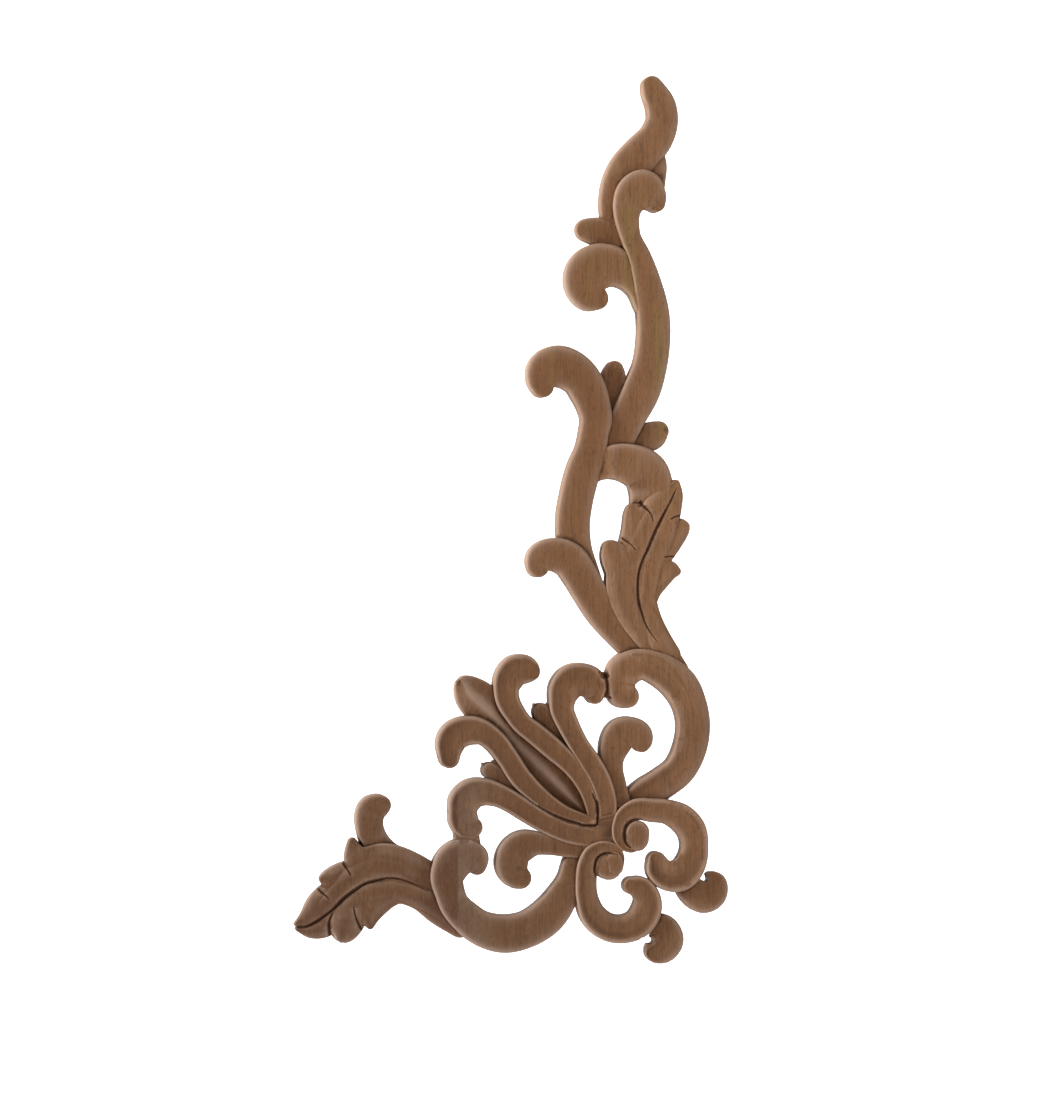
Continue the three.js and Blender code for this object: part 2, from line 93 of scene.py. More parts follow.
# How a section falls away: places across from -1 to 1, and the fall there as a share of the rounding
ROLL = [(-1, 0.4), (-0.92, 0.1), (-0.8, 0.01), (0, 0), (0.8, 0.01), (0.92, 0.1), (1, 0.4)]
RIM = [(-1, 0.75), (-0.75, 0.42), (-0.2, 0.33), (0.4, 0.26), (0.7, 0.06), (0.84, 0), (1, 0.5)]
LEAF = [(-1, 0.2), (-0.6, 0.03), (0, 0), (0.6, 0.03), (1, 0.3)]
KEEL = [(-1, 1), (-0.4, 0.36), (0, 0), (0.4, 0.36), (1, 1)]
PLATE = [(-1, 0.25), (-0.7, 0), (0, 0), (0.7, 0), (1, 0.25)]
COVE = [(-1, 0.5), (-0.86, 0.02), (-0.55, 0.15), (0, 0.21), (0.55, 0.15), (0.86, 0.02), (1, 0.5)]

# Name, section, side of the section's second edge, levels of the crown as shares of the thickness
# spread evenly from start to end, and the stations.
STROKES = [
    # The low ground that the deep grooves are cut down to
    ("arm_bed", ROLL, 1, (0.52, 0.52), [
        (21, 698, 9), (24, 671, 11.5), (33, 653, 9)]),
    ("leaf_bed", ROLL, 1, (0.62, 0.62), [
        (79, 374, 4.5), (62, 341, 11.5), (49, 311, 17), (45, 277, 16), (51, 243, 13.5), (59, 217, 11.5)]),
    ("palmette_bed", ROLL, 1, (0.44, 0.46), [
        (-98, 110, 20.5), (-68, 77, 40.5), (-38, 47, 34), (-16, 24, 17)]),
    ("branch_bed", ROLL, 1, (0.52, 0.56), [
        (-336, -100, 3.5), (-316, -92, 9), (-293, -74, 16), (-273, -60, 20.5), (-248, -56, 21.5),
        (-214, -57, 18), (-183, -69, 13.5)]),
    # The upper arm, from the flame tip down to the oval opening
    ("tip_leaf", ROLL, 1, (0.80, 0.80, 0.74, 0.60), [
        (59, 845, 11.5), (62, 838, 14), (69, 824, 16.5), (71, 806, 17.5), (64, 787, 19.5),
        (49, 770, 21.5), (33, 753, 21), (22, 734, 19), (16, 712, 16), (16, 691, 13.5)]),
    ("tip_lobe", ROLL, 1, (0.74, 0.73, 0.68), [
        (60, 768, 12.5), (61, 756, 15), (57, 736, 17.5)]),
    ("left_bud", ROLL, 1, (0.64, 0.60), [
        (-14, 683, 13), (-2, 681, 16), (16, 676, 16)]),
    ("upper_scroll", ROLL, 1, (0.96, 1.00, 0.98, 0.95, 0.92, 0.88, 0.82, 0.74), [
        (63, 713, 10.5), (60, 719, 14.5), (54, 725, 19), (48, 729, 21.5), (39, 724, 21),
        (32, 713, 17.5), (30, 702, 15), (31, 689, 13), (35, 673, 11.5), (45, 651, 13), (54, 620, 16),
        (60, 590, 18), (61, 561, 18.5), (57, 530, 19), (47, 501, 21), (32, 471, 19.5), (21, 444, 17)]),
    ("upper_volute", ROLL, 1, (0.86, 0.86, 0.86, 0.84), [
        (52, 597, 12.5), (44, 618, 14.5), (31, 633, 18), (13, 642, 23), (-5, 640, 26.5),
        (-14, 633, 25), (-17, 622, 22.5), (-12, 610, 18.5), (-3, 605, 12.5)]),
    ("fork_bud", ROLL, 1, (0.56, 0.66), [
        (13, 477, 3.5), (14, 497, 10), (16, 516, 14), (17, 525, 10.5)]),
    ("right_bud", ROLL, 1, (0.62, 0.68), [
        (34, 441, 4.5), (47, 448, 12), (58, 450, 16.5), (67, 456, 11.5)]),
    ("middle_scroll", ROLL, 1, (0.88, 0.88, 0.87, 0.85, 0.82, 0.78, 0.70), [
        (-65, 506, 12.5), (-66, 515, 16.5), (-60, 525, 21.5), (-49, 529, 23.5), (-36, 526, 23),
        (-22, 516, 21.5), (-13, 501, 20.5), (-7, 485, 18.5), (-4, 470, 17.5), (-7, 452, 16.5),
        (-10, 434, 17.5), (-18, 412, 19), (-26, 381, 19), (-30, 352, 19), (-27, 324, 18),
        (-16, 300, 14.5), (-2, 279, 8)]),
    ("arch", ROLL, -1, (0.72, 0.79, 0.85, 0.88, 0.84, 0.72), [
        (-11, 405, 10), (-2, 416, 16), (15, 421, 19.5), (34, 419, 22.5), (52, 409, 25), (58, 390, 24),
        (53, 369, 18)]),
    ("lower_hook", ROLL, 1, (0.88, 0.90, 0.88, 0.84, 0.76), [
        (-70, 303, 12), (-70, 309, 13.5), (-66, 314, 16), (-57, 317, 18), (-46, 316, 19.5),
        (-34, 310, 20), (-23, 295, 19.5), (-13, 278, 19), (3, 252, 18), (22, 227, 15), (39, 207, 12.5)]),
    # The toothed leaf halfway up the arm, lobe by lobe
    ("leaf_plate_right", PLATE, 1, (0.85, 0.87, 0.87, 0.80), [
        (86, 383, 3.5), (80, 366, 8), (76, 348, 11.5), (68, 328, 13.5), (60, 309, 13.5),
        (56, 288, 12.5), (54, 266, 10.5), (58, 245, 11.5), (67, 225, 12), (79, 204, 12.5)]),
    ("leaf_plate_left", PLATE, 1, (0.85, 0.87, 0.87, 0.82), [
        (74, 384, 7), (65, 369, 10), (54, 350, 13), (45, 330, 13.5), (36, 305, 17), (33, 277, 16),
        (38, 252, 13), (49, 227, 9)]),
    ("leaf_left_3", LEAF, 1, (0.84, 0.86, 0.86), [
        (85, 400, 1.5), (77, 386, 7.5), (66, 375, 13.5), (59, 359, 16), (51, 338, 14.5), (41, 315, 10)]),
    ("leaf_left_2", LEAF, 1, (0.86, 0.86, 0.86), [
        (38, 366, 8.5), (42, 359, 14.5), (45, 345, 19), (39, 324, 17.5), (30, 294, 13.5)]),
    ("leaf_left_1", LEAF, 1, (0.88, 0.88, 0.88, 0.87, 0.82), [
        (13, 323, 10.5), (18, 314, 16.5), (26, 298, 19.5), (25, 277, 18), (30, 257, 15.5),
        (39, 239, 13), (49, 222, 10), (56, 209, 5.5)]),
    ("leaf_right_1", LEAF, -1, (0.84, 0.86, 0.86), [
        (87, 398, 3), (88, 385, 5.5), (84, 368, 8), (76, 348, 11.5), (65, 324, 11.5), (57, 304, 9)]),
    ("leaf_right_2", LEAF, -1, (0.83, 0.85, 0.86), [
        (97, 349, 4.5), (88, 345, 13), (77, 333, 16.5), (67, 315, 14.5), (58, 294, 11.5)]),
    ("leaf_right_3", LEAF, -1, (0.83, 0.86, 0.86), [
        (86, 298, 5.5), (77, 299, 11.5), (66, 292, 15), (57, 277, 12.5), (53, 261, 10)]),
    ("leaf_stem", LEAF, -1, (0.86, 0.87, 0.87, 0.80), [
        (59, 291, 12.5), (54, 277, 12), (53, 261, 10.5), (57, 244, 11.5), (65, 224, 12),
        (75, 205, 13.5), (87, 186, 13.5)]),
    # The large scrolls, the heart between them and its two hooks
    ("right_scroll", RIM, 1, (0.90, 0.92, 0.94, 0.96, 0.94, 0.90, 0.84, 0.74), [
        (31, 157, 13), (25, 160, 16), (23, 167, 16.5), (23, 176, 16.5), (27, 185, 19), (36, 191, 18.5),
        (50, 193, 17.5), (70, 186, 19.5), (90, 170, 20.5), (101, 150, 19), (106, 125, 18.5),
        (102, 98, 18.5), (90, 74, 18), (71, 59, 18), (49, 45, 18), (27, 27, 13.5)]),
    ("left_scroll", ROLL, -1, (0.88, 0.90, 0.94, 0.94, 0.88, 0.84, 0.80, 0.72), [
        (-139, -33, 10.5), (-140, -28, 13.5), (-143, -24, 17), (-149, -22, 18.5), (-159, -24, 20.5),
        (-168, -33, 20.5), (-173, -46, 18.5), (-170, -62, 17), (-164, -77, 17), (-151, -91, 18.5),
        (-133, -104, 20), (-108, -110, 21.5), (-82, -105, 20.5), (-60, -91, 20.5), (-44, -71, 18),
        (-34, -50, 14), (-27, -29, 13.5), (-16, -16, 11.5)]),
    ("right_heart", COVE, -1, (0.88, 0.90, 0.94, 0.94, 0.92, 0.86), [
        (-6, 159, 10.5), (-7, 166, 13.5), (-10, 172, 17.5), (-18, 176, 18.5), (-30, 175, 19),
        (-39, 167, 18), (-43, 154, 15), (-43, 142, 13.5), (-37, 127, 12.5), (-25, 104, 11.5),
        (-11, 83, 12), (0, 63, 12), (7, 41, 11.5), (8, 16, 11.5)]),
    ("left_heart", COVE, 1, (0.88, 0.90, 0.93, 0.93, 0.92, 0.86), [
        (-144, 10, 11.5), (-150, 11, 15), (-154, 18, 16.5), (-155, 29, 16), (-153, 39, 17.5),
        (-144, 48, 17), (-131, 50, 15.5), (-115, 46, 13.5), (-99, 38, 12.5), (-82, 27, 12),
        (-62, 15, 11.5), (-40, 5, 11.5), (-18, 0, 11.5), (0, -2, 9)]),
    ("right_hook", ROLL, 1, (0.84, 0.86, 0.84, 0.80), [
        (47, 104, 10), (47, 108, 12.5), (43, 114, 16), (34, 117, 17.5), (24, 114, 18.5), (17, 102, 17),
        (14, 90, 14), (14, 77, 12), (18, 59, 11.5), (24, 41, 10)]),
    ("left_hook", ROLL, 1, (0.84, 0.86, 0.84, 0.80), [
        (-90, -47, 12.5), (-95, -44, 15), (-99, -38, 17), (-100, -29, 18.5), (-96, -18, 18),
        (-87, -11, 17.5), (-74, -8, 14), (-56, -11, 10.5), (-36, -15, 9), (-16, -16, 9)]),
    ("heart_root", ROLL, 1, (0.86, 0.86), [
        (-4, 0, 20.5), (25, 9, 20.5)]),
    ("right_tie", ROLL, 1, (0.74, 0.74), [
        (-2, 170, 14.5), (15, 170, 14.5)]),
    ("left_tie", ROLL, 1, (0.87, 0.87, 0.87), [
        (-152, 15, 13.5), (-150, -2, 14), (-147, -21, 14)]),
    # The palmette on the diagonal
    ("left_sprig_right", ROLL, 1, (0.72, 0.74), [
        (-119, 84, 1.5), (-119, 78, 5), (-113, 68, 8.5)]),
    ("left_sprig_left", ROLL, 1, (0.72, 0.74), [
        (-131, 81, 1.5), (-125, 76, 5.5), (-115, 68, 8.5)]),
    ("right_sprig_right", ROLL, 1, (0.72, 0.74), [
        (-56, 150, 1.5), (-58, 143, 5), (-55, 131, 9)]),
    ("right_sprig_left", ROLL, 1, (0.72, 0.74), [
        (-73, 148, 1.5), (-68, 142, 6), (-58, 131, 9)]),
    ("palmette_leaf", KEEL, 1, (0.84, 0.80, 0.72, 0.64), [
        (-157, 174, 3), (-151, 169, 12), (-142, 158, 20.5), (-130, 147, 23), (-115, 132, 18.5),
        (-96, 108, 17), (-68, 80, 18.5), (-43, 55, 16), (-25, 36, 8), (-16, 26, 1.5)]),
    ("palmette_right", COVE, -1, (0.90, 0.93, 0.95, 0.93, 0.90, 0.86), [
        (-78, 185, 10), (-82, 187, 14), (-88, 188, 17), (-96, 186, 17.5), (-103, 177, 16.5),
        (-106, 167, 14.5), (-104, 152, 13.5), (-97, 139, 12.5), (-88, 127, 12), (-73, 115, 12.5),
        (-54, 99, 12.5), (-31, 77, 10.5), (-17, 55, 8.5), (-10, 35, 7), (-9, 19, 4.5)]),
    ("palmette_left", COVE, 1, (0.88, 0.90, 0.94, 0.93, 0.90, 0.86), [
        (-170, 88, 11.5), (-170, 96, 13.5), (-169, 104, 16), (-164, 113, 17), (-154, 118, 17),
        (-143, 119, 16), (-131, 116, 14), (-117, 105, 13), (-105, 89, 12.5), (-89, 65, 12.5),
        (-65, 42, 10.5), (-43, 27, 9), (-23, 20, 7), (-10, 18, 4.5)]),
    ("right_sprig", ROLL, 1, (0.76, 0.72), [
        (-66, 140, 10), (-61, 128, 11.5), (-48, 110, 10.5), (-34, 91, 9.5), (-20, 70, 9), (-9, 48, 8)]),
    ("left_sprig", ROLL, 1, (0.76, 0.72), [
        (-124, 74, 9.5), (-112, 66, 10), (-93, 53, 9), (-74, 41, 8.5), (-53, 28, 8), (-34, 19, 7)]),
    # The small scrolls at the corner, with their buttons and drops
    ("left_eye_cheek", ROLL, 1, (0.89, 0.89), [
        (16, -26, 9), (17, -35, 9)]),
    ("right_eye_foot", ROLL, 1, (0.91, 0.91), [
        (35, -7, 9), (43, -7, 10)]),
    ("corner_left", RIM, 1, (0.84, 0.90, 0.94, 0.94, 0.90, 0.88, 0.88), [
        (23, -34, 3.5), (23, -24, 4.5), (16, -16, 7), (5, -14, 9), (-7, -20, 11.5), (-14, -34, 12),
        (-16, -51, 12), (-15, -68, 12.5), (-8, -88, 14.5), (8, -102, 16), (26, -105, 16),
        (43, -99, 16.5), (53, -84, 16.5), (54, -70, 14.5), (47, -59, 13), (36, -56, 10)]),
    ("corner_right", RIM, -1, (0.86, 0.92, 0.96, 0.98, 0.96, 0.92, 0.90), [
        (47, -12, 1), (41, -14, 2.5), (35, -14, 5), (26, -10, 6), (21, -1, 7), (21, 10, 8),
        (27, 23, 9.5), (41, 30, 12), (58, 29, 13.5), (76, 27, 14), (92, 20, 16), (104, 6, 16),
        (107, -12, 15), (104, -29, 16.5), (94, -43, 17.5), (80, -46, 17), (68, -39, 15), (64, -28, 10.5)]),
    ("left_eye", ROLL, 1, (0.88, 0.88), [
        (9, -35, 14.5), (10, -35, 14.5)]),
    ("right_eye", ROLL, 1, (0.92, 0.92), [
        (42, 4, 13.5), (41, -3, 14)]),
    ("right_drop", ROLL, 1, (0.72, 0.76, 0.80), [
        (94, -55, 10), (104, -64, 14.5), (117, -69, 18.5), (126, -65, 18), (130, -55, 14),
        (127, -49, 8.5)]),
    ("left_drop", ROLL, 1, (0.72, 0.76, 0.80), [
        (64, -97, 9), (73, -105, 16), (77, -117, 18), (71, -126, 18), (63, -131, 11.5), (60, -128, 8.5)]),
    # The short arm: a toothed leaf with a hook on its back
    ("branch_plate_low", PLATE, 1, (0.69, 0.73, 0.76, 0.76, 0.69), [
        (-321, -98, 3.5), (-304, -90, 7.5), (-289, -81, 9), (-275, -72, 11.5), (-260, -64, 12.5),
        (-241, -61, 12.5), (-223, -62, 12.5), (-201, -70, 13), (-178, -83, 13.5), (-160, -99, 11.5)]),
    ("branch_plate_top", PLATE, 1, (0.70, 0.74, 0.77, 0.77, 0.70), [
        (-326, -91, 3.5), (-314, -80, 8), (-300, -66, 10.5), (-286, -53, 13.5), (-270, -41, 16),
        (-251, -34, 17), (-228, -37, 14.5), (-205, -46, 14.5), (-180, -60, 13.5)]),
    ("branch_hook", ROLL, 1, (0.76, 0.74, 0.70, 0.60), [
        (-247, 35, 11.5), (-251, 34, 14), (-257, 30, 16), (-260, 21, 16), (-259, 9, 15.5),
        (-254, -5, 16), (-243, -18, 16), (-223, -29, 13.5)]),
    ("branch_top_1", LEAF, -1, (0.68, 0.72, 0.73), [
        (-343, -99, 1.5), (-328, -90, 9), (-317, -77, 13.5), (-301, -64, 14.5), (-280, -51, 9)]),
    ("branch_top_2", LEAF, -1, (0.72, 0.74, 0.75), [
        (-310, -48, 6), (-301, -48, 12.5), (-289, -47, 17.5), (-275, -42, 16), (-257, -36, 9)]),
    ("branch_top_3", LEAF, -1, (0.74, 0.77, 0.77, 0.68), [
        (-278, -7, 5.5), (-275, -20, 12), (-264, -33, 21), (-243, -28, 20.5), (-221, -32, 18.5),
        (-198, -42, 16.5), (-175, -55, 14.5)]),
    ("branch_low_1", LEAF, 1, (0.68, 0.70, 0.72), [
        (-340, -104, 3), (-325, -106, 8.5), (-309, -101, 12), (-292, -88, 10), (-275, -72, 7)]),
    ("branch_low_2", LEAF, 1, (0.73, 0.75, 0.75), [
        (-291, -114, 5.5), (-287, -102, 17), (-280, -88, 19), (-269, -72, 16.5), (-248, -61, 11.5)]),
    ("branch_low_3", LEAF, 1, (0.73, 0.76, 0.76, 0.68), [
        (-259, -100, 4.5), (-260, -86, 13.5), (-253, -74, 17), (-241, -65, 16.5), (-226, -62, 14),
        (-202, -70, 14), (-180, -86, 15), (-158, -102, 12.5)]),
]

# Small slots right through the wood, where the drops curl back: name, stations
SLOTS = [
    ("right_drop_slot", [(118, -45, 2.5), (119, -49, 3)]),
    ("left_drop_slot", [(48, -118, 3.5), (57, -118, 3.5)]),
]

# Lines cut with the parting tool: name, then x, z, half width and depth along each line
GROOVES = [
    ("leaf_midrib", [
        (87, 393, 0.7, 0.6), (79, 376, 1.6, 1.9), (70, 359, 1.8, 2.4), (62, 343, 1.9, 2.5),
        (54, 324, 1.9, 2.5), (48, 311, 1.9, 2.5), (43, 293, 1.9, 2.5), (43, 266, 1.9, 2.5),
        (47, 251, 1.7, 2.2), (53, 235, 1.4, 1.6), (65, 218, 0.6, 0.5)]),
    ("leaf_notch_1", [
        (44, 377, 2.5, 2.5), (52, 369, 2.0, 2.5), (57, 363, 1.5, 1.5), (60, 354, 1.0, 1.0)]),
    ("leaf_notch_2", [
        (18, 340, 2.5, 2.5), (27, 334, 1.9, 2.2), (35, 328, 1.2, 1.2), (40, 322, 1.0, 1.0)]),
    ("leaf_notch_3", [
        (95, 361, 1.7, 1.9), (86, 360, 1.5, 1.5), (78, 356, 1.0, 1.0)]),
    ("leaf_notch_4", [
        (93, 311, 1.7, 1.9), (82, 315, 1.5, 1.5), (71, 314, 1.0, 1.0)]),
    ("branch_midrib", [
        (-348, -99, 1.4, 2.5), (-335, -102, 1.9, 2.5), (-322, -97, 2.0, 2.8), (-310, -89, 2.0, 2.8),
        (-299, -80, 2.0, 2.8), (-288, -69, 2.0, 2.8), (-276, -60, 2.0, 2.8), (-265, -53, 2.0, 2.8),
        (-254, -50, 1.9, 2.5), (-239, -47, 1.8, 2.2), (-226, -48, 1.7, 1.9), (-209, -54, 1.2, 1.2),
        (-192, -62, 0.5, 0.4)]),
    ("branch_notch_1", [
        (-321, -55, 2.3, 2.5), (-314, -62, 1.8, 2.1), (-305, -70, 1.0, 1.0)]),
    ("branch_notch_2", [
        (-292, -25, 2.3, 2.5), (-286, -35, 1.7, 1.9), (-280, -45, 1.0, 1.0)]),
    ("branch_notch_3", [
        (-302, -118, 2.7, 3.1), (-305, -106, 2.5, 3.1), (-305, -95, 1.8, 2.2), (-301, -84, 1.0, 1.0)]),
    ("branch_notch_4", [
        (-266, -108, 2.3, 2.5), (-272, -99, 1.9, 2.2), (-276, -88, 1.4, 1.5), (-278, -79, 1.0, 1.0)]),
    ("hook_crevice", [
        (-280, 7, 2.9, 24.8), (-276, 0, 2.9, 24.8), (-271, -6, 2.5, 20.3), (-266, -12, 1.0, 4.5)]),
    ("right_rim_line", [
        (36, 205, 0.8, 0.1), (54, 204, 1.2, 0.2), (73, 197, 1.4, 0.3), (88, 181, 1.4, 0.3),
        (101, 158, 1.4, 0.3), (106, 136, 1.4, 0.3), (106, 114, 1.4, 0.3), (103, 93, 1.2, 0.2),
        (95, 74, 0.8, 0.1)]),
    ("right_rim_line_2", [
        (45, 197, 0.8, 0.1), (64, 194, 1.1, 0.2), (80, 179, 1.2, 0.2), (92, 157, 1.2, 0.2),
        (97, 133, 1.2, 0.2), (97, 110, 1.2, 0.2), (93, 91, 0.8, 0.1)]),
    ("corner_rim_line", [
        (77, 34, 0.9, 0.1), (95, 28, 1.4, 0.3), (108, 16, 1.5, 0.3), (114, 1, 1.5, 0.3),
        (115, -16, 1.5, 0.3), (113, -33, 1.5, 0.3), (105, -47, 1.2, 0.2), (95, -56, 0.9, 0.1)]),
    ("right_eye_line", [
        (48, 19, 0.6, 0.6), (36, 18, 1.8, 2.5), (29, 12, 2.1, 3.1), (27, 2, 2.1, 3.1),
        (29, -8, 1.9, 2.5), (35, -14, 0.7, 0.6)]),
    ("left_eye_line", [
        (19, -21, 0.6, 0.6), (8, -19, 1.8, 2.5), (-2, -23, 2.1, 3.1), (-6, -32, 2.1, 3.1),
        (-6, -42, 1.9, 2.5), (-1, -50, 0.7, 0.6)]),
    ("left_joint", [
        (-168, -2, 1.1, 0.7), (-158, -2, 1.0, 0.4), (-147, -3, 1.0, 0.4), (-134, -5, 1.1, 0.7)]),
    ("right_joint", [
        (3, 188, 1.8, 2.4), (7, 177, 1.5, 2.1), (8, 164, 1.5, 2.1), (8, 153, 1.8, 2.4)]),
    ("outer_v_left", [
        (-71, 35, 1.0, 1.0), (-56, 26, 1.6, 2.1), (-48, 22, 1.9, 2.8), (-38, 18, 2.1, 3.3),
        (-28, 15, 2.3, 3.5), (-18, 12, 2.3, 3.5), (-7, 12, 2.1, 3.3), (-3, 13, 1.8, 3.1)]),
    ("outer_v_right", [
        (-9, 49, 1.0, 1.0), (-7, 43, 1.6, 2.0), (-4, 38, 2.1, 3.3), (-3, 28, 2.3, 3.5),
        (-3, 18, 2.1, 3.3), (-4, 12, 1.8, 3.1)]),
]


# How finely the strokes are worked out
STEP = 0.6 * MM  # longest stretch between two rows
TURN_STEP = 0.09  # radians, the sharpest turn between two rows
SAMPLES = 24  # places looked at for each station before the rows are spaced
ACROSS = 25  # points in a row
CAP_STEPS = 6  # fewest rows round a rounded end
STEEPEST = 0.9  # the fastest that a half width may grow along its stroke
FOLD_REACH = 9  # half widths of edge within which a fold is looked for
FOLD_MARGIN = 3 * MM
ARRIS_SHARE = 0.4  # most of a half width that the arris may take
ARRIS_TURN = 0.98  # how far round its quarter circle the arris is carried
CRISP_REACH = 2.2 * MM  # how far the edge stays crisp beside a tight inner turn
CRISPNESS = 0.8
WELD = 1e-6 * MM


def smooth_through(rows, places):
    """A centripetal curve through the rows, read at places counted in spans from 0."""
    p = np.vstack([2 * rows[0] - rows[1], rows, 2 * rows[-1] - rows[-2]])
    gap = np.maximum(np.linalg.norm(np.diff(p, axis=0), axis=1) ** 0.5, 1e-5)[:, None]
    slope = np.diff(p, axis=0) / gap
    i = np.clip(places.astype(int), 0, len(rows) - 2)
    u = (places - i)[:, None]
    before, here, after = gap[i], gap[i + 1], gap[i + 2]
    bend_in = (slope[i] - (p[i + 2] - p[i]) / (before + here) + slope[i + 1]) * here
    bend_out = (slope[i + 1] - (p[i + 3] - p[i + 1]) / (here + after) + slope[i + 2]) * here
    a, b = p[i + 1], p[i + 2]
    return (
        a + bend_in * u
        + (-3 * a + 3 * b - 2 * bend_in - bend_out) * u**2
        + (2 * a - 2 * b + bend_in + bend_out) * u**3
    )


def drawn_in(edge, reach):
    """The edge without the loops that a tight turn folds into it, and where those loops were.

    Two stretches a + ab u and c + cd v meet where u and v both lie from 0 to 1. All of the edge between
    them moves to that meeting, and the widest loop is drawn in first.
    """
    run = np.concatenate([[0], np.cumsum(np.linalg.norm(np.diff(edge, axis=0), axis=1))])
    a, ab = edge[:-1], np.diff(edge, axis=0)
    i, j = np.triu_indices(len(ab), 2)
    near = run[j + 1] - run[i] < np.maximum(reach[i], reach[j])
    i, j = i[near], j[near]
    area = ab[i, 0] * ab[j, 1] - ab[i, 1] * ab[j, 0]
    area = np.where(np.abs(area) < 1e-18, 1e-18, area)
    ac = a[j] - a[i]
    u = (ac[:, 0] * ab[j, 1] - ac[:, 1] * ab[j, 0]) / area
    v = (ac[:, 0] * ab[i, 1] - ac[:, 1] * ab[i, 0]) / area
    met = (u >= 0) & (u <= 1) & (v >= 0) & (v <= 1)
    i, j, u = i[met], j[met], u[met]
    edge, loops = edge.copy(), []
    for k in np.argsort(i - j, kind="stable"):
        if all(i[k] >= last or j[k] < first - 1 for first, last in loops):
            edge[i[k] + 1 : j[k] + 1] = a[i[k]] + ab[i[k]] * u[k]
            loops.append((i[k] + 1, j[k] + 1))
    return edge, loops


